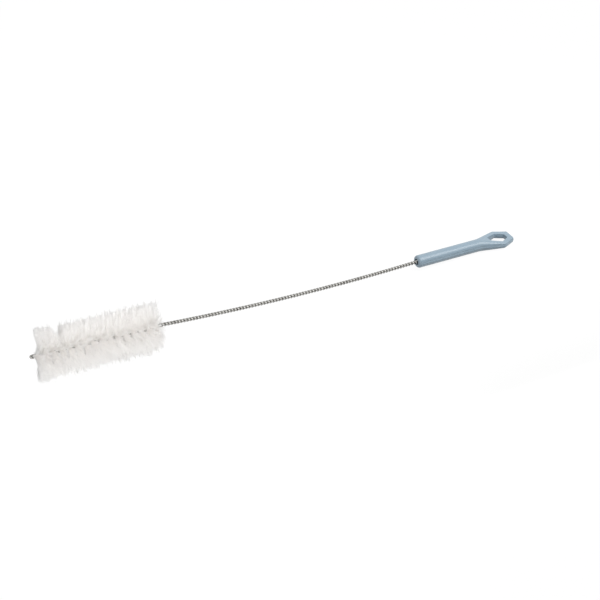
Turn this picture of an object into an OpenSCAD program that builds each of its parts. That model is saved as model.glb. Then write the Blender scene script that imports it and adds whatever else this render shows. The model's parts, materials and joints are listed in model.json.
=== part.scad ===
// Bottle brush for laboratory glassware, lying at rest on a bench.
// One steel wire is folded double and its legs are twisted round each other. The legs clamp
// filaments across them near the fold, and their cut ends sit in the socket of a moulded handle.

/* [Bristle head] */
// Diameter over the bristle tips
head_d = 46; // [36:1:60]
// Length of wire that carries bristles
head_len = 111; // [80:0.5:150]
// Length of wire in one full twist inside the head
head_pitch = 14.8; // [12:0.2:20]
// Bundles of filaments in one full twist, on each side of the wire
tufts_per_turn = 26; // [20:2:32]
// Furthest that a bundle leans along the wire, at its tip
tuft_lean = 0.8; // [0:0.1:1.2]
// Gap between neighbouring rows of bundles, at their tips
row_gap = 0.5; // [0.4:0.1:2]
// Share of the room between neighbouring bundles that each one fills at its tip
tip_fill = 0.74; // [0.4:0.02:0.9]
// Thickness of the filaments packed between the two legs
fill_t = 0.8; // [0.6:0.1:1.2]

/* [Wire] */
// Diameter of the wire
wire_d = 1.8; // [1.4:0.1:2.2]
// Bare nose ahead of the bristles, with the fold
nose_len = 11.5; // [4:0.5:16]
// Bare stem between the bristles and the handle
stem_len = 267; // [150:1:400]
// Length of wire in one full twist of the stem
stem_pitch = 6.2; // [5.8:0.1:12]
// Length over which the twist changes from one pitch to the other
ease_len = 4; // [2:0.5:8]
// Sag of the stem below a straight line
stem_sag = 4.1; // [0:0.1:8]
// Clearance round the wire, to the filaments, the socket and the other leg
wire_seat = 0.08; // [0.06:0.01:0.2]

/* [Handle] */
// Diameter of the round grip
grip_d = 12.5; // [9:0.1:16]
// Length of the round grip
grip_len = 70; // [50:1:100]
// Rounding of the grip's wire end
rim_r = 2.4; // [0.5:0.1:2.6]
// Diameter of the socket's mouth
mouth_d = 6.2; // [5:0.1:8]
// Depth of the socket's mouth
mouth_depth = 3; // [1:0.5:6]
// Length of wire held in the handle
insert_len = 38; // [20:1:45]
// Angle, seen from above, at which the handle is set on the wire
handle_set = 2; // [0:0.1:4]

/* [Hanging eye] */
// Length of the flare from the grip to the widest place
flare_len = 26.5; // [18:0.5:40]
// Length of the taper from the widest place to the end
taper_len = 14.2; // [10:0.2:24]
// Width at the widest place
eye_w = 25.8; // [24:0.2:34]
// Width of the end
eye_end_w = 13.4; // [12:0.2:20]
// Thickness of the eye
eye_t = 5.4; // [4.6:0.1:8]
// Chamfer along the eye's edges
eye_edge = 0.9; // [0.3:0.1:1.2]
// How far the eye's walls lean in from the parting line at half thickness
draft = 0.5; // [0.2:0.1:0.8]
// Width of the bars round the hole
bar_w = 6.2; // [4.5:0.1:6.5]
// Length of the hole from its grip end to the widest place
hole_len = 11.5; // [8:0.5:15]
// Width of the hole at its grip end
hole_start_w = 5.4; // [3:0.1:8]
// Width of the hole at its far end
hole_end_w = 5.4; // [3:0.1:8]

/* [Hidden] */

// Sides of the wire's section, its rings in a full twist, and rings round the fold
wire_sides = 6;
head_rings = 8;
stem_rings = 6;
fold_steps = 6;
// Thickness of the slices that the flare is stretched between, and overshoot of cuts
slice = 0.02;
cut = 1;
// Turn from one lean to the next, which never repeats
golden_turn = 137.5;

wire_r = wire_d / 2;
head_r = head_d / 2;
// Distance of each leg from the axis, in the head and in the stem
leg_r_head = wire_r + fill_t / 2 + wire_seat;
leg_r_stem = wire_r + wire_seat;
// Radius at which the bundles leave the wire
root_r = leg_r_head + wire_r + wire_seat;
socket_d = 2 * (leg_r_stem + wire_r + wire_seat);

// Stations along the axis: centre of the fold, head, stem, handle and cut ends
s_fold = leg_r_stem + wire_r;
s_head = nose_len;
s_stem = s_head + head_len;
s_grip = s_stem + stem_len;
s_cut = s_grip + insert_len;

// Bundles stand side by side along the wire, from one end of the head to the other
tuft_step = head_pitch / tufts_per_turn;
tufts = floor(head_len / tuft_step) - 2;
s_first = s_head + (head_len - tufts * tuft_step) / 2;
// Width of a row along the wire, where it leaves the wire and at its tips
row_root = fill_t * head_pitch / (2 * PI * root_r);
row_tip = head_pitch / 2 - row_gap - 2 * tuft_lean;

// Handle lengths from its wire end
widest_x = grip_len + flare_len;
handle_len = widest_x + taper_len;

// Twist of the legs: it starts at the fold and tightens where the head ends.
// A bundle near the stem end of the head points straight down, and the brush rests on it.
function eased(t) = t <= 0 ? 0 : t >= ease_len ? t - ease_len / 2 : t * t / (2 * ease_len);
function raw_twist(s) = 360 * (eased(s - s_fold) / head_pitch
    + eased(s - s_stem) * (1 / stem_pitch - 1 / head_pitch));
rest_tuft = tufts - 3;
s_down = s_first + (rest_tuft + 0.5) * tuft_step;
function twist(s) = 180 + raw_twist(s) - raw_twist(s_down);

// Axis of the wire: straight in the head, sagging in the stem, along the handle in its socket
function axis_point(s) =
    let (u = min(max((s - s_stem) / stem_len, 0), 1), past = max(s - s_grip, 0))
    [s - past * (1 - cos(handle_set)), past * sin(handle_set), -4 * stem_sag * u * (1 - u)];
function spoke(s, angle, r) = axis_point(s) + [0, r * cos(angle), r * sin(angle)];

// Centre line of one leg, which lies against the other at the fold and past the head
function leg_r(s) =
    let (opening = (s - s_fold) / (s_head - s_fold), closing = 1 - (s - s_stem) / ease_len)
    leg_r_stem + (leg_r_head - leg_r_stem) * max(min(opening, closing, 1), 0);
function leg_point(s, side) = spoke(s, twist(s) + side, leg_r(s));

// Corner of a bundle's tip: bundles stand in two rows, on opposite sides of the wire.
// The corner lies before or after the bundle's middle round the wire, and along the wire.
function tip_corner(k, side, round_by, along_by) =
    let (s = s_first + (k + 0.5 + round_by * tip_fill) * tuft_step,
        lean = tuft_lean * sin(golden_turn * k + side))
    spoke(s + lean + along_by * row_tip, twist(s) + side, head_r);

// Undersides of the grip and of the eye's end, in the plane of the wire, as [x, z] pairs
end_half_w = eye_end_w / 2 - draft - eye_edge;
end_x = s_grip + handle_len * cos(handle_set) + end_half_w * sin(handle_set);
low_x = end_x - eye_edge * cos(handle_set);
handle_lows = [[s_grip + grip_len * cos(handle_set), -grip_d / 2], [low_x, -eye_t / 2]];

// Tilt at which the lowest bundle and the handle lie on the bench together
function slope_to(low) = max([for (k = [0 : tufts - 1], side = [90, -90], round_by = [-0.5, 0.5])
    let (tip = tip_corner(k, side, round_by, 0.5))
    (low[1] - tip.z) / (low[0] - tip.x)]);
tilt = atan(min([for (low = handle_lows) slope_to(low)]));
lift = max([for (low = handle_lows) low[0] * sin(tilt) - low[1] * cos(tilt)]);
middle = end_x * cos(tilt) / 2;

// Places the brush on the bench, centred along its length
module at_rest() {
    translate([-middle, 0, lift]) rotate([0, tilt, 0]) children();
}

// Carries a shape from the handle's own axis to its place on the wire
module on_wire() {
    translate(axis_point(s_grip)) rotate([0, 0, handle_set]) children();
}

// Half section of the round grip, with the rounding of its wire end
module grip_section() {
    translate([0, rim_r]) square([grip_d / 2, grip_len - rim_r]);
    square([grip_d / 2 - rim_r, grip_len]);
    translate([grip_d / 2 - rim_r, rim_r]) circle(r = rim_r, $fn = 48);
}

// Thin slice across the eye: chamfered edges, walls that lean in from the parting line
module eye_slice(x, w) {
    flat_w = w / 2 - draft - eye_edge;
    wall_z = eye_t / 2 - eye_edge;
    translate([x, 0, 0]) rotate([90, 0, 90]) linear_extrude(slice, center = true) polygon([
        [w / 2, 0], [w / 2 - draft, wall_z], [flat_w, eye_t / 2],
        [-flat_w, eye_t / 2], [draft - w / 2, wall_z], [-w / 2, 0],
        [draft - w / 2, -wall_z], [-flat_w, -eye_t / 2],
        [flat_w, -eye_t / 2], [w / 2 - draft, -wall_z]]);
}

// Thin slice of the hole at one height, wider by grow all round
module hole_slice(z, grow) {
    widest = eye_w / 2 - bar_w + grow;
    near_x = widest_x - hole_len - grow;
    far_x = handle_len - bar_w + grow;
    translate([0, 0, z]) linear_extrude(slice, center = true) polygon([
        [near_x, hole_start_w / 2 + grow], [widest_x, widest], [far_x, hole_end_w / 2 + grow],
        [far_x, -hole_end_w / 2 - grow], [widest_x, -widest], [near_x, -hole_start_w / 2 - grow]]);
}

// Moulded handle: grip, flare and eye, less the chamfers of its end, the hole and the socket
module handle() {
    color("#8fa6b8") at_rest() on_wire() difference() {
        union() {
            rotate([0, 90, 0]) rotate_extrude($fn = 64) grip_section();
            hull() {
                translate([grip_len - slice, 0, 0]) rotate([0, 90, 0])
                    cylinder(d = grip_d, h = slice, $fn = 48);
                eye_slice(widest_x, eye_w);
            }
            hull() {
                eye_slice(widest_x, eye_w);
                eye_slice(handle_len - slice / 2, eye_end_w);
            }
        }
        for (up = [-1, 1]) translate([handle_len, 0, up * eye_t / 2]) rotate([0, 45, 0])
            cube([eye_edge * sqrt(2), eye_w, eye_edge * sqrt(2)], center = true);
        for (up = [-1, 1]) hull() {
            hole_slice(0, 0);
            hole_slice(up * (eye_t / 2 + cut), draft);
        }
        translate([-cut, 0, 0]) rotate([0, 90, 0]) cylinder(d = mouth_d, h = mouth_depth + cut, $fn = 48);
        rotate([0, 90, 0]) cylinder(d = socket_d, h = insert_len + wire_r, $fn = 48);
    }
}

// Sweeps a round section along a path, given the point that each ring faces
module swept_wire(path, facing) {
    last = len(path) - 1;
    rings = [for (i = [0 : last])
        let (
            run = path[min(i + 1, last)] - path[max(i - 1, 0)],
            ahead = run / norm(run),
            toward = facing[i] - path[i],
            square_on = toward - (toward * ahead) * ahead,
            inward = square_on / norm(square_on),
            across = cross(ahead, inward))
        for (j = [0 : wire_sides - 1])
            let (turn = 360 * (j + 0.5) / wire_sides)
            path[i] + wire_r * (cos(turn) * inward + sin(turn) * across)];
    first_end = [for (j = [0 : wire_sides - 1]) j];
    last_end = [for (j = [wire_sides - 1 : -1 : 0]) last * wire_sides + j];
    walls = [for (i = [0 : last - 1], j = [0 : wire_sides - 1])
        let (a = i * wire_sides + j, b = i * wire_sides + (j + 1) % wire_sides)
        each [[a, a + wire_sides, b], [b, a + wire_sides, b + wire_sides]]];
    polyhedron(rings, concat([first_end, last_end], walls));
}

// The folded wire: down one leg from its cut end, round the fold and back up the other
module wire() {
    head_steps = ceil((s_stem - s_fold) / head_pitch * head_rings);
    stem_steps = ceil((s_cut - s_stem) / stem_pitch * stem_rings);
    stations = concat(
        [for (i = [0 : head_steps - 1]) s_fold + (s_stem - s_fold) * i / head_steps],
        [for (i = [0 : stem_steps]) s_stem + (s_cut - s_stem) * i / stem_steps]);
    last = len(stations) - 1;
    fold = [for (i = [1 : fold_steps - 1])
        let (turn = 180 * i / fold_steps)
        spoke(s_fold, twist(s_fold), leg_r_stem * cos(turn)) - [leg_r_stem * sin(turn), 0, 0]];
    path = concat([for (i = [last : -1 : 0]) leg_point(stations[i], 0)], fold,
        [for (i = [0 : last]) leg_point(stations[i], 180)]);
    facing = concat([for (i = [last : -1 : 0]) axis_point(stations[i])],
        [for (i = fold) axis_point(s_fold)], [for (i = [0 : last]) axis_point(stations[i])]);
    color("#b9bcbe") at_rest() swept_wire(path, facing);
}

// The filaments: packed between the legs along the axis, and fanned out in two spiral rows.
// Each boundary between bundles has six points: the two row edges on either side, and the two
// faces that the legs press on. Each bundle fans out from its boundaries to the four corners
// of its tip.
module bristles() {
    boundaries = [for (j = [0 : tufts])
        let (s = s_first + j * tuft_step, turn = twist(s))
        each [
            spoke(s + row_root / 2, turn + 90, root_r), spoke(s - row_root / 2, turn + 90, root_r),
            spoke(s, turn, fill_t / 2), spoke(s, turn + 180, fill_t / 2),
            spoke(s + row_root / 2, turn - 90, root_r), spoke(s - row_root / 2, turn - 90, root_r)]];
    tips = [for (k = [0 : tufts - 1], side = [90, -90], round_by = [-0.5, 0.5], along_by = [0.5, -0.5])
        tip_corner(k, side, round_by, along_by)];
    first_tip = len(boundaries);
    far = 6 * tufts;
    ends = [[0, 1, 2], [1, 3, 2], [3, 5, 2], [3, 4, 5],
        [far, far + 2, far + 1], [far + 1, far + 2, far + 3],
        [far + 3, far + 2, far + 5], [far + 3, far + 5, far + 4]];
    core = [for (j = [0 : tufts - 1], strip = [[0, 2], [2, 5], [3, 1], [4, 3]])
        let (a = 6 * j + strip[0], b = 6 * j + strip[1])
        each [[a, b, a + 6], [b, b + 6, a + 6]]];
    fans = [for (k = [0 : tufts - 1], row = [0, 1])
        let (a = 6 * k + 4 * row, b = a + 1, c = a + 6, d = a + 7, t = first_tip + 8 * k + 4 * row)
        each [[a, t, b], [b, t, t + 1], [c, d, t + 2], [t + 2, d, t + 3],
            [a, c, t], [t, c, t + 2], [b, t + 1, d], [d, t + 1, t + 3],
            [t, t + 2, t + 1], [t + 1, t + 2, t + 3]]];
    color("#f2f0ea") at_rest() polyhedron([each boundaries, each tips], concat(ends, core, fans));
}

handle();
wire();
bristles();
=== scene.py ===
import json
import bmesh
import bpy
import numpy as np
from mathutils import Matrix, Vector


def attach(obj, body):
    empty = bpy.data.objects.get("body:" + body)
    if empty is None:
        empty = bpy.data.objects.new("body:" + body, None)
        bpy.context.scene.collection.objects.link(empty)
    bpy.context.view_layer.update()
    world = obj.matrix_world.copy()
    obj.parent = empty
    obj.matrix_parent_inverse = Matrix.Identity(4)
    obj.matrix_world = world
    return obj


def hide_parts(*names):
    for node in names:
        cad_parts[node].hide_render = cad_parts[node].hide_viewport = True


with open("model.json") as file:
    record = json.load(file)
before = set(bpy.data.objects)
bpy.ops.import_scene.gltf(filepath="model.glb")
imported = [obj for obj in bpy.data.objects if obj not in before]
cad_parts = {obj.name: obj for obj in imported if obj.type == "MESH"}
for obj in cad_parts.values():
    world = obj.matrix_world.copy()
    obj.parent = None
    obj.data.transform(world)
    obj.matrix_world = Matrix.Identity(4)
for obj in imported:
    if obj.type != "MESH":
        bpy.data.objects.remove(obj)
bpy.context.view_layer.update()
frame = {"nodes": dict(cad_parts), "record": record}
print("frame: nodes", sorted(frame["nodes"]))

# The brush's own line, in millimetres from the tip of its nose: fold, head, bare stem, handle
brushLine = {
    "noseLen": 11.5,
    "headLen": 111.0,
    "stemLen": 267.0,
    "insertLen": 38.0,  # wire held in the handle
    "stemSag": 4.1,
    "handleSet": np.radians(2.0),  # the handle's turn on the wire, seen from above
    "headPitch": 14.8,  # wire in one full twist
    "stemPitch": 6.2,
    "twistEase": 4.0,  # wire over which the twist changes
    "tuftsPerTwist": 26,  # bundles of filaments in each of the two rows
    "tuftsSpare": 2,  # bundles for which there is room at the head's ends
    "downTuft": 3,  # the bundle that points straight down, counted from the stem
    "eyeMiddle": 96.5,  # from the handle's wire end to the widest place of its eye
}
headStart = brushLine["noseLen"]
headEnd = headStart + brushLine["headLen"]
gripStart = headEnd + brushLine["stemLen"]
cutEnd = gripStart + brushLine["insertLen"]


# Axis of the wire: straight in the head, a parabola in the stem, then along the handle
def axisPoint(station):
    share = np.clip((station - headEnd) / brushLine["stemLen"], 0, 1)
    past = np.maximum(station - gripStart, 0)
    turn = brushLine["handleSet"]
    return np.stack([
        station - past * (1 - np.cos(turn)),
        past * np.sin(turn),
        -4 * brushLine["stemSag"] * share * (1 - share)], -1)


# A length that starts off gently: a parabola over the ease, then a straight line
def eased(length, ease):
    length = np.maximum(length, 0)
    return np.where(length < ease, length ** 2 / (2 * ease), length - ease / 2)


# The eye's mount gives the lie of the brush: its axis leans by the tilt, its place fixes the rest
eyeMount = frame["record"]["mounts"][0]
restTilt = np.arctan2(eyeMount["axis"][0], eyeMount["axis"][2])


# Turns points from the brush's line to the tilt at which it lies
def tilted(points):
    x, y, z = np.moveaxis(points, -1, 0)
    return np.stack([
        x * np.cos(restTilt) + z * np.sin(restTilt), y,
        z * np.cos(restTilt) - x * np.sin(restTilt)], -1)


eyeStation = gripStart + brushLine["eyeMiddle"]
restShift = np.array(eyeMount["pos_m"]) - tilted(axisPoint(np.array(eyeStation))) / 1000


# From the brush's line in millimetres to its place on the bench in metres
def onBench(points):
    return tilted(points) / 1000 + restShift


# Puts points and faces into a mesh, each face set being rows of equal length
def meshFrom(name, points, *faceSets, smooth=True):
    mesh = bpy.data.meshes.new(name)
    corners = np.concatenate([faces.ravel() for faces in faceSets])
    sizes = np.concatenate([np.full(len(faces), faces.shape[1]) for faces in faceSets])
    mesh.vertices.add(len(points))
    mesh.vertices.foreach_set("co", points.astype(np.float32).ravel())
    mesh.loops.add(len(corners))
    mesh.loops.foreach_set("vertex_index", corners.astype(np.int32))
    mesh.polygons.add(len(sizes))
    mesh.polygons.foreach_set("loop_start", (np.cumsum(sizes) - sizes).astype(np.int32))
    mesh.polygons.foreach_set("use_smooth", np.full(len(sizes), smooth))
    mesh.update(calc_edges=True)
    return mesh


# Four corner numbers of every cell between two rings, on rings that close on themselves
def ringCells(rings, sides):
    row, side = np.meshgrid(np.arange(rings - 1), np.arange(sides), indexing="ij")
    ahead = (side + 1) % sides
    cells = np.stack([row * sides + side, row * sides + ahead,
                      (row + 1) * sides + ahead, (row + 1) * sides + side], -1)
    return cells.reshape(-1, 4)


mergeReach = 1e-7  # metres within which two points are the same


# Closes poles and seams by merging equal points, and turns every face outwards
def closeUp(mesh):
    work = bmesh.new()
    work.from_mesh(mesh)
    bmesh.ops.remove_doubles(work, verts=work.verts, dist=mergeReach)
    bmesh.ops.recalc_face_normals(work, faces=work.faces)
    work.to_mesh(mesh)
    work.free()


# Links an object to the scene, at the origin
def addObject(name, content):
    thing = bpy.data.objects.new(name, content)
    bpy.context.scene.collection.objects.link(thing)
    return thing


# Adds a finished piece, which moves with the one body and stands for a solid of the frame
def addPiece(name, mesh, material, node):
    piece = addObject(name, mesh)
    mesh.materials.append(material)
    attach(piece, "root")
    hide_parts(node)
    print("piece:", name, len(mesh.polygons), "faces")
    return piece


# Linear colour from an sRGB hex value
def colour(hexText):
    share = np.array([int(hexText[i:i + 2], 16) for i in (1, 3, 5)]) / 255
    linear = np.where(share <= 0.04045, share / 12.92, ((share + 0.055) / 1.055) ** 2.4)
    return (*linear.tolist(), 1.0)


# Adds a node: settings name its own properties or its sockets, links name sockets
def addNode(tree, kind, settings=None, links=None):
    node = tree.nodes.new(kind)
    for name, value in (settings or {}).items():
        if str(name) in node.bl_rna.properties:
            setattr(node, name, value)
        else:
            node.inputs[name].default_value = value
    for name, source in (links or {}).items():
        tree.links.new(source, node.inputs[name])
    return node


# A material with an empty node tree
def newMaterial(name):
    material = bpy.data.materials.new(name)
    material.use_nodes = True
    material.node_tree.nodes.clear()
    return material, material.node_tree


# Turns millimetres between repeats into a texture scale in metres
def perMetre(millimetres):
    return 1000 / millimetres


# Bright steel, drawn through a die and twisted: mirror-like, with fine die lines along the wire
steel = {
    "bright": "#b8b7b4",
    "dull": "#8a8884",
    "dieLine": 0.12,  # mm between lines round the wire, coarser than real ones so that they show
    "lineStretch": 0.02,  # scale of the lines along the wire, as a share of that round it
    "lineDepth": 0.02,  # mm
    "lineStrength": 0.35,
    "cloud": 9.0,  # mm between duller stretches
    "roughness": (0.16, 0.3),
}


# Die lines bump the wire along its length, and a cloudy noise dulls and roughens it in patches
def drawnSteel():
    material, tree = newMaterial("drawn_bright_steel")
    # the map is in metres both ways, so the lines are stretched along the wire by the mapping
    place = addNode(tree, "ShaderNodeUVMap", {"uv_map": "along"})
    lineScale = addNode(tree, "ShaderNodeMapping", {"Scale": (steel["lineStretch"], 1.0, 1.0)},
                        {"Vector": place.outputs[0]})
    lines = addNode(tree, "ShaderNodeTexNoise", {"Scale": perMetre(steel["dieLine"]), "Detail": 2.0},
                    {"Vector": lineScale.outputs[0]})
    body = addNode(tree, "ShaderNodeTexCoord")
    cloud = addNode(tree, "ShaderNodeTexNoise", {"Scale": perMetre(steel["cloud"]), "Detail": 3.0},
                    {"Vector": body.outputs["Object"]})
    tint = addNode(tree, "ShaderNodeMix",
                   {"data_type": "RGBA", 6: colour(steel["bright"]), 7: colour(steel["dull"])},
                   {0: cloud.outputs["Fac"]})
    low, high = steel["roughness"]
    rough = addNode(tree, "ShaderNodeMapRange", {"To Min": low, "To Max": high},
                    {"Value": cloud.outputs["Fac"]})
    bump = addNode(tree, "ShaderNodeBump",
                   {"Strength": steel["lineStrength"], "Distance": steel["lineDepth"] / 1000},
                   {"Height": lines.outputs["Fac"]})
    shader = addNode(tree, "ShaderNodeBsdfPrincipled", {"Metallic": 1.0},
                     {"Base Color": tint.outputs[2], "Roughness": rough.outputs[0],
                      "Normal": bump.outputs[0]})
    addNode(tree, "ShaderNodeOutputMaterial", {}, {"Surface": shader.outputs[0]})
    return material


# The wire, folded double, with its two legs twisted round each other
wirePiece = {
    "diameter": 1.8,
    "fill": 0.8,  # filaments packed between the legs in the head
    "seat": 0.08,  # clearance between the legs
    "sides": 12,
    "headRings": 26,  # in one full twist
    "stemRings": 22,
    "foldRings": 14,
}
wireRadius = wirePiece["diameter"] / 2
legHead = wireRadius + wirePiece["fill"] / 2 + wirePiece["seat"]
legStem = wireRadius + wirePiece["seat"]
foldStation = legStem + wireRadius
# the bundles of filaments stand evenly about the head's middle, and one of them points straight down
tuftStep = brushLine["headPitch"] / brushLine["tuftsPerTwist"]
tuftCount = np.floor(brushLine["headLen"] / tuftStep) - brushLine["tuftsSpare"]
firstTuft = headStart + (brushLine["headLen"] - (tuftCount - 1) * tuftStep) / 2
downStation = firstTuft + (tuftCount - brushLine["downTuft"]) * tuftStep


# Turn of the legs in radians: whole turns per pitch, gathered gently from the fold and the head's end
def rawTwist(station):
    ease = brushLine["twistEase"]
    tighter = 1 / brushLine["stemPitch"] - 1 / brushLine["headPitch"]
    turns = eased(station - foldStation, ease) / brushLine["headPitch"]
    turns = turns + eased(station - headEnd, ease) * tighter
    return 2 * np.pi * turns


# The same turn, shifted so that the legs lie level where a bundle points straight down
def twist(station):
    return np.pi + rawTwist(station) - rawTwist(downStation)


# A point at a distance from the axis, at an angle round it
def spoke(station, angle, distance):
    across = np.stack([np.zeros_like(angle), np.cos(angle), np.sin(angle)], -1)
    return axisPoint(station) + across * np.asarray(distance)[..., None]


# A circle carried along both legs and the fold between them
def makeWire():
    headSteps = int((headEnd - foldStation) / brushLine["headPitch"] * wirePiece["headRings"])
    stemSteps = int((cutEnd - headEnd) / brushLine["stemPitch"] * wirePiece["stemRings"])
    stations = np.concatenate([np.linspace(foldStation, headEnd, headSteps, endpoint=False),
                               np.linspace(headEnd, cutEnd, stemSteps)])
    # the legs lie against each other at the fold and past the head, and apart where filaments are packed
    opening = np.clip((stations - foldStation) / (headStart - foldStation), 0, 1)
    closing = np.clip(1 - (stations - headEnd) / brushLine["twistEase"], 0, 1)
    legAway = legStem + (legHead - legStem) * np.minimum(opening, closing)
    legs = [spoke(stations, twist(stations) + side, legAway) for side in (0, np.pi)]
    # the fold is a half circle from one leg to the other, ahead of their ends
    turn = np.linspace(0, np.pi, wirePiece["foldRings"])[1:-1]
    foldAt = np.full_like(turn, foldStation)
    fold = spoke(foldAt, np.full_like(turn, twist(np.array(foldStation))), legStem * np.cos(turn))
    fold[:, 0] -= legStem * np.sin(turn)
    path = np.concatenate([legs[0][::-1], fold, legs[1]])
    centre = np.concatenate([axisPoint(stations)[::-1], axisPoint(foldAt), axisPoint(stations)])
    # the circle is turned so that its first point looks at the axis
    ahead = np.gradient(path, axis=0)
    ahead /= np.linalg.norm(ahead, axis=1, keepdims=True)
    inward = centre - path
    inward -= np.sum(inward * ahead, 1, keepdims=True) * ahead
    inward /= np.linalg.norm(inward, axis=1, keepdims=True)
    across = np.cross(ahead, inward)
    sides = wirePiece["sides"]
    angle = (2 * np.pi * np.arange(sides) / sides)[:, None]
    circles = np.cos(angle) * inward[:, None] + np.sin(angle) * across[:, None]
    rings = path[:, None] + wireRadius * circles
    ends = np.repeat(path[[0, -1], None], sides, axis=1)  # the cut ends close on a point
    rings = np.concatenate([ends[:1], rings, ends[1:]])
    cells = ringCells(len(rings), sides)
    mesh = meshFrom("wire", onBench(rings).reshape(-1, 3), cells)
    # the map: metres along the wire and metres round it
    steps = np.linalg.norm(np.diff(rings.mean(1), axis=0), axis=1)
    run = np.concatenate([[0], np.cumsum(steps)]) / 1000
    row, side = np.divmod(np.arange(len(cells)), sides)
    girth = 2 * np.pi * wireRadius / 1000 / sides
    along = np.stack([run[row], run[row], run[row + 1], run[row + 1]], -1)
    around = np.stack([side, side + 1, side + 1, side], -1) * girth
    layer = mesh.uv_layers.new(name="along")
    layer.uv.foreach_set("vector", np.stack([along, around], -1).astype(np.float32).ravel())
    closeUp(mesh)
    addPiece("twisted_wire", mesh, drawnSteel(), "wire")


makeWire()

# Nylon filament, drawn and cut: pale with a faint sheen, no two of quite the same tone
nylon = {
    "pale": "#fffffe",
    "deep": "#fffefe",
    "root": "#fdfdfc",  # greyer near the wire
    "rootFade": (0.05, 0.45),  # shares of the length between which that grey fades
    "roughness": 0.38,
    "ior": 1.53,
    "sheen": 0.05,
}


# Each filament has its own tone between two whites, and greys a little towards the wire
def nylonFilament():
    material, tree = newMaterial("drawn_nylon_filament")
    tone = addNode(tree, "ShaderNodeAttribute", {"attribute_name": "tone"})
    reach = addNode(tree, "ShaderNodeAttribute", {"attribute_name": "reach"})
    outer = addNode(tree, "ShaderNodeMix",
                    {"data_type": "RGBA", 6: colour(nylon["deep"]), 7: colour(nylon["pale"])},
                    {0: tone.outputs["Fac"]})
    near, far = nylon["rootFade"]
    fade = addNode(tree, "ShaderNodeMapRange", {"From Min": near, "From Max": far},
                   {"Value": reach.outputs["Fac"]})
    tint = addNode(tree, "ShaderNodeMix", {"data_type": "RGBA", 6: colour(nylon["root"])},
                   {0: fade.outputs[0], 7: outer.outputs[2]})
    shader = addNode(tree, "ShaderNodeBsdfPrincipled",
                     {"Roughness": nylon["roughness"], "IOR": nylon["ior"],
                      "Specular IOR Level": nylon["sheen"]},
                     {"Base Color": tint.outputs[2]})
    addNode(tree, "ShaderNodeOutputMaterial", {}, {"Surface": shader.outputs[0]})
    return material


# The filaments, each laid across the wire from tip to tip and clamped between the legs
bristlePiece = {
    "headDiameter": 50.4,  # to the longest tips
    "rows": (3.2, 118.8),  # stations of the first and the last filament
    "lengths": ("nose", "fore", "rear", "stem"),  # each quarter of the head is a piece
    "filaments": 3900,  # in each length
    "thickness": 0.22,
    "tipThickness": 0.16,
    "lean": 5.5,  # mm along the wire at the tip, each its own way
    "turnSpread": np.radians(9.0),
    "turnRise": 0.35,  # the lower, the closer to the wire a filament goes its own way round it
    "clump": 18,  # neighbours whose tips draw together
    "clumpPull": 0.15,
    "pullRise": 1.2,  # the higher, the closer to the tip they draw together
    "spikes": 0.28,  # share of clumps that are drawn together more and cut longer
    "spikePull": 0.94,
    "clumpLean": 5.0,
    "clumpTurn": np.radians(8.0),
    "bow": 0.3,  # mm, sideways at half length
    "noseTrim": (5.2, 0.43, 0.05),  # the first tips' station, and more of it the further back and down
    "stemLean": (-0.5, 4.0),  # mm that the last filaments lean on, and more of it the higher they point
    "leanReach": 8.0,  # mm of wire over which that fades
    "upward": (0.545, 0.838),  # across and up, as the camera sees it
    "parting": (28.0, 6.0, 3.5),  # a gap on top: where, how far it opens and over how much wire
    "shortfall": (3.1, 1.3),  # mm by which filaments are shorter than the spikes, and its spread
    "spikeShortfall": (0.7, 0.4),  # mm, spread of the spikes' length and of each filament in one
    "fullNose": (0.2, 22.0),  # share of it at the nose, and the wire over which it grows to the whole
    "clearance": 0.15,  # mm above the bench
    "layer": 0.8,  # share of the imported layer's thickness in which the clamped middles lie
    "ownTone": 0.5,  # share of a filament's tone that is its own, the rest being its clump's
    "reach": (1.0, 0.8, 0.5, 0.16),  # rings from the tip to the wire, as shares of the length
    "seed": 11,
    "sides": 3,
}
nylonThread = nylonFilament()


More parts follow.
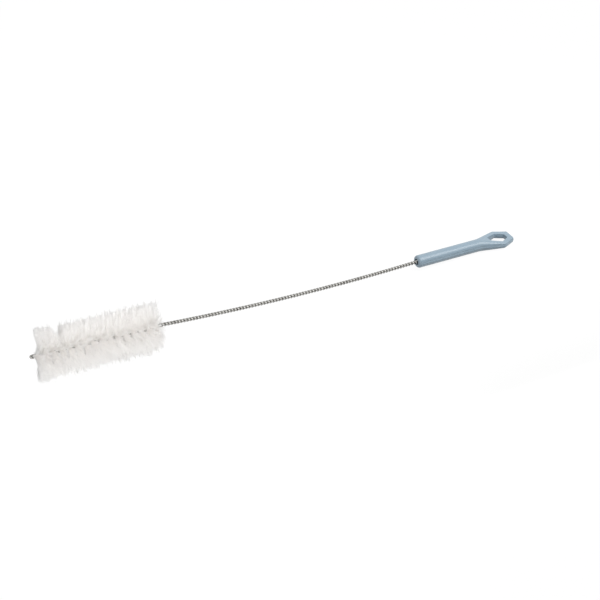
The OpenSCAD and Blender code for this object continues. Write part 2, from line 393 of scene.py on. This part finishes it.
# Each filament on one side of the wire goes its own way along and round it, and its tip is drawn
# towards its clump's: returns own lean and turn, what the draw adds to each, and the length
def filamentTips(rng, station, clump, side):
    p = bristlePiece
    count, clumps = len(station), clump[-1] + 1
    clumpStation = (np.bincount(clump, station) / np.bincount(clump))[clump]
    lean = rng.uniform(-p["lean"], p["lean"], count)
    turn = rng.normal(0, p["turnSpread"], count)
    clumpLean = rng.uniform(-p["clumpLean"], p["clumpLean"], clumps)[clump]
    drawLean = clumpLean + clumpStation - station - lean
    clumpTurn = rng.normal(0, p["clumpTurn"], clumps)[clump]
    drawTurn = clumpTurn + twist(clumpStation) - twist(station) - turn
    clumpAngle = twist(clumpStation) + side * np.pi / 2
    across, up = p["upward"]
    high = across * np.cos(clumpAngle) + up * np.sin(clumpAngle)
    # the last filaments lean along the wire, by an amount that fades with the distance
    leanOn, leanHigh = p["stemLean"]
    lean += (leanOn + leanHigh * high) * np.exp((station - p["rows"][1]) / p["leanReach"])
    spike = rng.random(clumps) < p["spikes"]
    pull = np.where(spike, p["spikePull"], p["clumpPull"])[clump]
    # tips that point up lean away from the parting, on both sides of it
    place, opens, wide = p["parting"]
    fromParting = station + lean + pull * drawLean - place
    away = np.sign(fromParting) * np.exp(-np.abs(fromParting) / wide)
    lean += opens * away * np.clip(high, 0, 1) ** 2
    # the first tips are pressed back behind a plane that slants with their direction
    ahead, back, below = p["noseTrim"]
    reachOut = p["headDiameter"] / 2
    plane = ahead + reachOut * (back * np.cos(clumpAngle) + below * np.maximum(-np.sin(clumpAngle), 0))
    lean += np.maximum(plane - (station + lean + pull * drawLean), 0)
    # spikes keep nearly the whole length, and the other filaments are cut shorter, less so at the nose
    shorter, spread = p["shortfall"]
    least, grown = p["fullNose"]
    shorter = shorter * np.clip((station - p["rows"][0]) / grown, least, 1)
    ownShort = np.abs(rng.normal(0, 1, count))
    spikeSpread, threadSpread = p["spikeShortfall"]
    spikeShort = np.abs(rng.normal(0, spikeSpread, clumps))[clump] + threadSpread * ownShort
    length = reachOut - np.where(spike[clump], spikeShort, shorter + spread * ownShort)
    # a tip that points down stops at the bench, and one that doesn't has room without end
    drop = np.sin(restTilt) * (station + lean + pull * drawLean)
    room = restShift[2] * 1000 - drop - p["clearance"]
    tipAngle = twist(station) + side * np.pi / 2 + turn + pull * drawTurn
    down = np.maximum(-np.sin(tipAngle), 1e-6) * np.cos(restTilt)
    length = np.minimum(length, room / down)
    return lean, turn, pull * drawLean, pull * drawTurn, length


# One length of the head: a three-sided profile carried along each filament, thinner at its tips
def makeBristles(name, firstStation, lastStation, seed):
    p = bristlePiece
    rng = np.random.default_rng(seed)
    count, sides = p["filaments"], p["sides"]
    station = firstStation + (lastStation - firstStation) * (np.arange(count) + rng.random(count)) / count
    clump = np.arange(count) // p["clump"]
    share = np.array(p["reach"])[None]
    drawn = share ** p["pullRise"]
    halves = []
    for side in (-1, 1):
        lean, turn, drawLean, drawTurn, length = filamentTips(rng, station, clump, side)
        bow = rng.normal(0, p["bow"], count)[:, None] * np.sin(np.pi * share)
        away = length[:, None] * share
        angle = twist(station)[:, None] + side * np.pi / 2 + bow / away
        angle += turn[:, None] * share ** p["turnRise"] + drawTurn[:, None] * drawn
        along = station[:, None] + lean[:, None] * share + drawLean[:, None] * drawn
        halves.append(np.stack([along, away * np.cos(angle), away * np.sin(angle)], -1))
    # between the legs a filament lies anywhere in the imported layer
    layer = rng.uniform(-p["layer"] / 2, p["layer"] / 2, count) * wirePiece["fill"]
    middle = spoke(station, twist(station), layer)[:, None]
    path = np.concatenate([halves[0], middle, halves[1][:, ::-1]], 1)
    reach = np.concatenate([p["reach"], [0], p["reach"][::-1]])
    # the profile stands square to the filament, each turned by its own angle
    ahead = np.gradient(path, axis=1)
    ahead /= np.linalg.norm(ahead, axis=2, keepdims=True)
    first = np.cross(ahead, np.array([1.0, 0.0, 0.0]))
    first /= np.linalg.norm(first, axis=2, keepdims=True)
    second = np.cross(ahead, first)
    spin = 2 * np.pi * (np.arange(sides) / sides + rng.random(count)[:, None])[:, None, :, None]
    ring = np.cos(spin) * first[:, :, None] + np.sin(spin) * second[:, :, None]
    thick = p["thickness"] + (p["tipThickness"] - p["thickness"]) * reach
    points = path[:, :, None] + ring * thick[None, :, None, None] / 2
    perFilament = len(reach) * sides
    offset = np.arange(count)[:, None, None] * perFilament
    walls = (offset + ringCells(len(reach), sides)[None]).reshape(-1, 4)
    tips = np.stack([np.arange(sides)[::-1], np.arange(sides) + perFilament - sides])
    ends = (offset + tips[None]).reshape(-1, sides)
    mesh = meshFrom(name, onBench(points).reshape(-1, 3), walls, ends, smooth=False)
    toneOf = p["ownTone"] * rng.random(count) + (1 - p["ownTone"]) * rng.random(clump[-1] + 1)[clump]
    tone = mesh.attributes.new("tone", "FLOAT", "POINT")
    tone.data.foreach_set("value", np.repeat(toneOf, perFilament).astype(np.float32))
    reachLayer = mesh.attributes.new("reach", "FLOAT", "POINT")
    reachLayer.data.foreach_set("value", np.tile(np.repeat(reach, sides), count).astype(np.float32))
    addPiece(name, mesh, nylonThread, "bristles")


lengthEnds = np.linspace(*bristlePiece["rows"], len(bristlePiece["lengths"]) + 1)
for number, length in enumerate(bristlePiece["lengths"]):
    makeBristles("nylon_bristles_" + length, lengthEnds[number], lengthEnds[number + 1],
                 bristlePiece["seed"] + number)

# Polypropylene, injection moulded in a polished mould: glossy, faintly rippled, slightly cloudy
plastic = {
    "base": "#92a7b6",
    "cloudy": "#9cb0be",
    "cloud": 14.0,  # mm between paler patches
    "ripple": 1.6,  # mm between the ripples that the mould leaves
    "rippleDepth": 0.04,  # mm
    "rippleStrength": 0.25,
    "roughness": (0.2, 0.3),
    "ior": 1.49,
}


# A cloudy noise pales and roughens it in patches, and a finer one gives the ripple
def mouldedPlastic():
    material, tree = newMaterial("moulded_polypropylene")
    body = addNode(tree, "ShaderNodeTexCoord")
    cloud = addNode(tree, "ShaderNodeTexNoise", {"Scale": perMetre(plastic["cloud"]), "Detail": 3.0},
                    {"Vector": body.outputs["Object"]})
    ripple = addNode(tree, "ShaderNodeTexNoise", {"Scale": perMetre(plastic["ripple"]), "Detail": 1.0},
                     {"Vector": body.outputs["Object"]})
    tint = addNode(tree, "ShaderNodeMix",
                   {"data_type": "RGBA", 6: colour(plastic["base"]), 7: colour(plastic["cloudy"])},
                   {0: cloud.outputs["Fac"]})
    low, high = plastic["roughness"]
    rough = addNode(tree, "ShaderNodeMapRange", {"To Min": low, "To Max": high},
                    {"Value": cloud.outputs["Fac"]})
    bump = addNode(tree, "ShaderNodeBump",
                   {"Strength": plastic["rippleStrength"], "Distance": plastic["rippleDepth"] / 1000},
                   {"Height": ripple.outputs["Fac"]})
    shader = addNode(tree, "ShaderNodeBsdfPrincipled", {"IOR": plastic["ior"]},
                     {"Base Color": tint.outputs[2], "Roughness": rough.outputs[0],
                      "Normal": bump.outputs[0]})
    addNode(tree, "ShaderNodeOutputMaterial", {}, {"Surface": shader.outputs[0]})
    return material


# The moulded handle: round grip, flare and six-sided eye, in millimetres from its wire end
handlePiece = {
    "gripRadius": 6.25,
    "gripLen": 70.0,
    "rimRound": 2.4,
    "mouthRadius": 3.1,
    "mouthDepth": 3.0,
    "mouthLip": 0.2,
    "socketRadius": 1.96,
    "socketDepth": 38.9,
    "flareEase": 5.0,  # length over which the flare starts off
    "flareSoft": 0.03,  # share of the flare over which it settles into the eye
    "taperLen": 14.2,
    "eyeWidth": 25.8,
    "eyeEndWidth": 13.4,
    "eyeThick": 5.4,
    "draft": 0.5,
    "edgeRound": 0.9,
    "cornerRound": 0.5,  # softening of the outline at the widest place
    "seamRound": 0.2,  # rounding at the parting line
    "seamHeight": 0.14,  # ridge where the halves of the mould met
    "seamHalfAngle": np.radians(3.5),
    "groove": (0.3, np.radians(13.0), np.radians(7.5)),  # depth beside the ridge, where and half width
    "barWidth": 6.2,
    "holeLen": 11.5,  # from the hole's grip end to the widest place
    "holeEndWidth": 5.4,
    "holeRound": 1.1,
    "holeLip": 0.8,
    "lipRoll": np.radians(80.0),  # how far the lip rolls over
    "lipMeets": np.radians(70.0),  # where in its roll it meets the face
    "cutPast": 2.0,  # how far the cut runs on above the face
    "sharpAngle": np.radians(32.0),  # edges keener than this stay sharp
    "cornerSteps": 33,
    "arcSteps": 9,
    "rings": (20, 40, 24),  # along the grip, the flare and the taper
    "holeSteps": (7, 4, 8),  # round a corner of the hole, up its wall and over its lip
}
widestX = brushLine["eyeMiddle"]
flareLen = widestX - handlePiece["gripLen"]
handleLen = widestX + handlePiece["taperLen"]


# From the handle's own axis to its place at the end of the stem
def alongHandle(points):
    x, y, z = np.moveaxis(points, -1, 0)
    turn = brushLine["handleSet"]
    placed = np.stack([x * np.cos(turn) - y * np.sin(turn), x * np.sin(turn) + y * np.cos(turn), z], -1)
    return axisPoint(np.array(gripStart)) + placed


# The lesser of two values, with their corner rounded off
def softLesser(one, other, soft):
    return (one + other - np.sqrt((one - other) ** 2 + soft ** 2)) / 2


# How much of the eye's section a slice has: none on the grip, all of it from the widest place on
def flareShare(x):
    ease = handlePiece["flareEase"]
    run = eased(x - handlePiece["gripLen"], ease) / eased(flareLen, ease)
    return np.clip(softLesser(run, 1.0, handlePiece["flareSoft"]), 0, 1)


# Width of the eye: level as far as its widest place, then falling in a straight line to its end
def eyeWidthAt(x):
    slope = (handlePiece["eyeWidth"] - handlePiece["eyeEndWidth"]) / handlePiece["taperLen"]
    straight = handlePiece["eyeWidth"] - slope * (x - widestX)
    return softLesser(straight, handlePiece["eyeWidth"], handlePiece["cornerRound"])


# Rounds a convex outline: each corner becomes an arc between the normals of its two edges
def roundedOutline(corners, normals, radii, steps):
    before = np.roll(normals, 1, axis=0)
    centres = corners - radii[:, None] * (before + normals) / (1 + np.sum(before * normals, 1))[:, None]
    start = np.arctan2(before[:, 1], before[:, 0])
    sweep = np.mod(np.arctan2(normals[:, 1], normals[:, 0]) - start, 2 * np.pi)
    angle = start[:, None] + sweep[:, None] * steps
    facing = np.stack([np.cos(angle), np.sin(angle)], -1)
    outline = centres[:, None] + radii[:, None, None] * facing
    return outline.reshape(-1, 2), facing.reshape(-1, 2)


# Normals of a closed outline's edges, each edge running from its corner to the next
def edgeNormals(corners):
    run = np.roll(corners, -1, axis=0) - corners
    normals = np.stack([run[:, 1], -run[:, 0]], -1)
    return normals / np.linalg.norm(normals, axis=1, keepdims=True)


# The eye's section, cornered at the parting line and at the four long edges, with no width yet:
# returns its points, where each faces and which side it is on
def eyeSection():
    p = handlePiece
    half, lean = p["eyeThick"] / 2, p["draft"]
    sign = np.array([1, 1, -1, -1, -1, 1.0])
    inset = np.array([0, lean, lean, 0, lean, lean])
    height = np.array([0, half, half, 0, -half, -half])
    wide = np.stack([sign * (p["eyeWidth"] / 2 - inset), height], -1)
    flat = np.stack([-sign * inset, height], -1)
    radii = np.where(inset > 0, p["edgeRound"], p["seamRound"])
    # steps lie close together at both ends of a corner, by a cosine, for the groove and the ridge
    steps = (1 - np.cos(np.linspace(0, np.pi, p["cornerSteps"]))) / 2
    offsets, facing = roundedOutline(flat, edgeNormals(wide), radii, steps)
    return offsets, facing, np.repeat(sign, len(steps))


# Height of the ridge at the parting line, a parabola across it, and depth of the hollow beside it on
# the grip's upper half, one trough of a cosine wave
def ridgeAndHollow(facing):
    p = handlePiece
    above = np.arctan2(facing[:, 1], np.abs(facing[:, 0]))
    ridge = p["seamHeight"] * np.clip(1 - (above / p["seamHalfAngle"]) ** 2, 0, 1)
    deep, place, spread = p["groove"]
    fromGroove = np.clip((above - place) / spread, -1, 1)
    return ridge, deep * (1 + np.cos(np.pi * fromGroove)) / 2


# Rings along the handle, out of the socket, over the lip and the rim, then down the outside: returns
# each ring's place, radius and rounding at the end, and whether it is on the outside
def handleRings():
    p = handlePiece
    arc = np.linspace(0, np.pi / 2, p["arcSteps"])
    grip, lip, rim, edge = p["gripRadius"], p["mouthLip"], p["rimRound"], p["edgeRound"]
    inX = np.concatenate([[p["socketDepth"]] * 2, [p["mouthDepth"]] * 2,
                          lip * (1 - np.sin(arc)), rim * (1 - np.cos(arc))])
    inRadius = np.concatenate([[0, p["socketRadius"], p["socketRadius"], p["mouthRadius"]],
                               p["mouthRadius"] + lip * (1 - np.cos(arc)), grip - rim + rim * np.sin(arc)])
    gripRings, flareRings, taperRings = p["rings"]
    gripX = np.linspace(rim, p["gripLen"], gripRings)[1:]
    flareX = p["gripLen"] + flareLen * np.linspace(0, 1, flareRings)[1:]
    taperX = widestX + (p["taperLen"] - edge) * np.linspace(0, 1, taperRings)[1:]
    endX = handleLen - edge * (1 - np.sin(arc[1:]))
    outX = np.concatenate([gripX, flareX, taperX, endX, [handleLen]])
    rowX = np.concatenate([inX, outX])
    radius = np.concatenate([inRadius, np.full(len(outX), grip)])
    rounding = np.concatenate([np.zeros(len(rowX) - len(arc)), edge * (1 - np.cos(arc[1:])), [edge]])
    return rowX, radius, rounding, np.arange(len(rowX)) >= len(inX)


# Cuts the six-sided hole: its walls lean out from the parting line and round over at both faces
def cutHole(piece):
    p = handlePiece
    widest, narrow = p["eyeWidth"] / 2 - p["barWidth"], p["holeEndWidth"] / 2
    nearX, farX = widestX - p["holeLen"], handleLen - p["barWidth"]
    corners = np.array([[farX, -narrow], [farX, narrow], [widestX, widest],
                        [nearX, narrow], [nearX, -narrow], [widestX, -widest]])
    cornerSteps, wallSteps, lipSteps = p["holeSteps"]
    radii = np.full(len(corners), p["holeRound"])
    outline, facing = roundedOutline(corners, edgeNormals(corners), radii, np.linspace(0, 1, cornerSteps))
    # the face above each point of the outline: sloping on the flare, level on the eye
    share = flareShare(outline[:, 0])
    top = (1 - share) * p["gripRadius"] + share * p["eyeThick"] / 2
    # levels up the wall, over the lip and past the face: height, and growth out from the outline
    lip, meets = p["holeLip"], np.sin(p["lipMeets"])
    wall = np.linspace(0, 1, wallSteps)[:-1, None]
    roll = np.linspace(0, p["lipRoll"], lipSteps)[:, None]
    heights = np.concatenate([wall * (top - lip * meets), top + lip * (np.sin(roll) - meets),
                              top[None] + p["cutPast"]])
    grows = np.concatenate([p["draft"] * wall, p["draft"] + lip * (1 - np.cos(roll))])
    grows = np.concatenate([grows, grows[-1:]])
    # the lower half mirrors the upper one, and each end closes on its middle
    heights = np.concatenate([-heights[:0:-1], heights])
    grows = np.concatenate([grows[:0:-1], grows])
    rings = np.concatenate([outline + grows[..., None] * facing, heights[..., None]], -1)
    middle = rings.mean(1, keepdims=True) + np.zeros_like(rings)
    rings = np.concatenate([middle[:1], rings, middle[-1:]])
    mesh = meshFrom("hole", onBench(alongHandle(rings)).reshape(-1, 3), ringCells(*rings.shape[:2]))
    closeUp(mesh)
    cutter = addObject("hole", mesh)
    cut = piece.modifiers.new("hole", "BOOLEAN")
    cut.operation, cut.solver, cut.object = "DIFFERENCE", "EXACT", cutter
    bpy.context.view_layer.update()
    evaluated = piece.evaluated_get(bpy.context.evaluated_depsgraph_get())
    finished = bpy.data.meshes.new_from_object(evaluated)
    piece.modifiers.clear()
    piece.data = finished
    finished.name = "moulded_handle"
    bpy.data.objects.remove(cutter)
    finished.polygons.foreach_set("use_smooth", np.ones(len(finished.polygons), bool))
    finished.set_sharp_from_angle(angle=p["sharpAngle"])
    shade = piece.modifiers.new("shade", "WEIGHTED_NORMAL")
    shade.keep_sharp = True
    print("handle: hole cut,", len(finished.polygons), "faces")


# A slice is the round grip and the flat eye added in proportion, as a straight-sided loft has it
def makeHandle():
    offsets, facing, side = eyeSection()
    ridge, hollow = ridgeAndHollow(facing)
    rowX, radius, rounding, outside = handleRings()
    share = (flareShare(rowX) * outside)[:, None, None]
    outside = outside[:, None, None]
    width = eyeWidthAt(rowX)
    grip = radius[:, None, None] * facing
    eye = offsets + np.stack([side * width[:, None] / 2, np.zeros((len(rowX), len(side)))], -1)
    slices = (1 - share) * grip + share * eye
    slices = slices + outside * (ridge[:, None] * facing)
    slices = slices - outside * (1 - share) * (hollow[:, None] * facing)
    # the last rings shrink by the rounding of the end, which closes on a point
    halves = np.stack([width, np.full_like(width, handlePiece["eyeThick"])], -1) / 2
    slices = slices * (1 - rounding[:, None] / halves)[:, None]
    slices[-1] = 0
    body = np.concatenate([np.repeat(rowX[:, None, None], len(side), 1), slices], -1)
    mesh = meshFrom("handle", onBench(alongHandle(body)).reshape(-1, 3), ringCells(*body.shape[:2]))
    closeUp(mesh)
    cutHole(addPiece("moulded_handle", mesh, mouldedPlastic(), "handle"))


makeHandle()

# The white bench, the pale surroundings and two softboxes: one above the handle, one before the head
stageSet = {
    "benchSize": 12.0,
    "benchDrop": 0.0002,  # metres by which it lies lower than the brush
    "bench": "#b0b0b0",
    "benchSeen": "#585858",  # the bench as it is seen: a darker white with a lift, so shadows are faint
    "benchLift": 0.94,
    "benchGlow": "#ffffff",
    "surroundings": "#ffffff",
    "ambient": 0.63,
    "softboxes": {  # place, aim, side in metres, watts and the grid's spread in degrees
        "handle_softbox": ((0.389, -0.206, 0.476), (0.19, 0.002, 0.008), 0.4, 0.4, 70),
        "head_softbox": ((-0.245, -0.5, 0.243), (-0.19, -0.01, 0.025), 0.3, 0.19, 50),
    },
    "flag": ((0.1, -0.2, 0.01), (0.42, -0.2, 0.15)),  # a black card that keeps front light off the handle
    "flagTint": "#141414",
}


# A light path value that is 1 for what the camera, a gloss or a clear piece sees
def seenDirectly(tree):
    path = addNode(tree, "ShaderNodeLightPath")
    either = addNode(tree, "ShaderNodeMath", {"operation": "MAXIMUM"},
                     {0: path.outputs["Is Camera Ray"], 1: path.outputs["Is Glossy Ray"]})
    both = addNode(tree, "ShaderNodeMath", {"operation": "MAXIMUM"},
                   {0: either.outputs[0], 1: path.outputs["Is Transmission Ray"]})
    return both.outputs[0]


# A flat four-cornered piece of the stage
def stageCard(name, corners, material):
    mesh = meshFrom(name, np.array(corners), np.array([[0, 1, 2, 3]]))
    mesh.materials.append(material)
    card = addObject(name, mesh)
    return card


# Diffuse, and where it is seen a darker white that is lifted nearly to full white
def makeBench():
    material, tree = newMaterial("white_bench")
    seen = seenDirectly(tree)
    tint = addNode(tree, "ShaderNodeMix",
                   {"data_type": "RGBA", 6: colour(stageSet["bench"]), 7: colour(stageSet["benchSeen"])},
                   {0: seen})
    lift = addNode(tree, "ShaderNodeMath", {"operation": "MULTIPLY", 1: stageSet["benchLift"]}, {0: seen})
    shader = addNode(tree, "ShaderNodeBsdfPrincipled",
                     {"Roughness": 1.0, "Specular IOR Level": 0.0,
                      "Emission Color": colour(stageSet["benchGlow"])},
                     {"Base Color": tint.outputs[2], "Emission Strength": lift.outputs[0]})
    addNode(tree, "ShaderNodeOutputMaterial", {}, {"Surface": shader.outputs[0]})
    reach, low = stageSet["benchSize"] / 2, -stageSet["benchDrop"]
    stageCard("bench", [[-reach, -reach, low], [reach, -reach, low],
                        [reach, reach, low], [-reach, reach, low]], material)


# White where they are seen, and dimmer where they only light the brush
def makeSurroundings():
    world = bpy.data.worlds.new("surroundings")
    bpy.context.scene.world = world
    world.use_nodes = True
    tree = world.node_tree
    tree.nodes.clear()
    level = addNode(tree, "ShaderNodeMapRange", {"To Min": stageSet["ambient"], "To Max": 1.0},
                    {"Value": seenDirectly(tree)})
    sky = addNode(tree, "ShaderNodeBackground", {"Color": colour(stageSet["surroundings"])},
                  {"Strength": level.outputs[0]})
    addNode(tree, "ShaderNodeOutputWorld", {}, {"Surface": sky.outputs[0]})


# Square lamps behind a grid, each turned from its place to its aim
def makeSoftboxes():
    for name, (place, aim, side, power, spread) in stageSet["softboxes"].items():
        light = bpy.data.lights.new(name, "AREA")
        light.energy, light.size, light.spread = power, side, np.radians(spread)
        lamp = addObject(name, light)
        lamp.location = place
        lamp.rotation_euler = (Vector(aim) - lamp.location).to_track_quat("-Z", "Y").to_euler()
        lamp.visible_camera = False


# The black card, which the camera doesn't see
def makeFlag():
    material, tree = newMaterial("black_card")
    shader = addNode(tree, "ShaderNodeBsdfDiffuse", {"Color": colour(stageSet["flagTint"])})
    addNode(tree, "ShaderNodeOutputMaterial", {}, {"Surface": shader.outputs[0]})
    (x0, y0, z0), (x1, y1, z1) = stageSet["flag"]
    flag = stageCard("flag", [[x0, y0, z0], [x1, y1, z0], [x1, y1, z1], [x0, y0, z1]], material)
    flag.visible_camera = False


makeBench()
makeSurroundings()
makeSoftboxes()
makeFlag()
print("stage: bench, surroundings, softboxes and flag")

# The camera looks down on the brush from its nose's side, through a long lens
cameraView = {
    "azimuth": np.radians(-26.58),
    "elevation": np.radians(36.01),
    "distance": 1.3952,
    "lens": 90.0,  # mm
    "sensor": 36.0,  # mm wide
    "clip": (0.01, 50.0),  # nearest and furthest that it sees, in metres
    "target": (0.00685, -0.01207, 0.015),
}


# Stands back from its target by azimuth, elevation and distance, and looks at it
def makeCamera():
    camera = bpy.data.cameras.new("camera")
    camera.lens, camera.sensor_width = cameraView["lens"], cameraView["sensor"]
    camera.clip_start, camera.clip_end = cameraView["clip"]
    across, high = cameraView["azimuth"], cameraView["elevation"]
    back = Vector((np.sin(across) * np.cos(high), -np.cos(across) * np.cos(high), np.sin(high)))
    seat = addObject("camera", camera)
    seat.location = Vector(cameraView["target"]) + back * cameraView["distance"]
    seat.rotation_euler = (-back).to_track_quat("-Z", "Y").to_euler()
    bpy.context.scene.camera = seat
    print("camera: set")


makeCamera()
bpy.context.scene.view_settings.view_transform = "Standard"
lightBounces = 48  # light goes on from filament to filament
bpy.context.scene.cycles.max_bounces = lightBounces
bpy.context.scene.cycles.diffuse_bounces = lightBounces
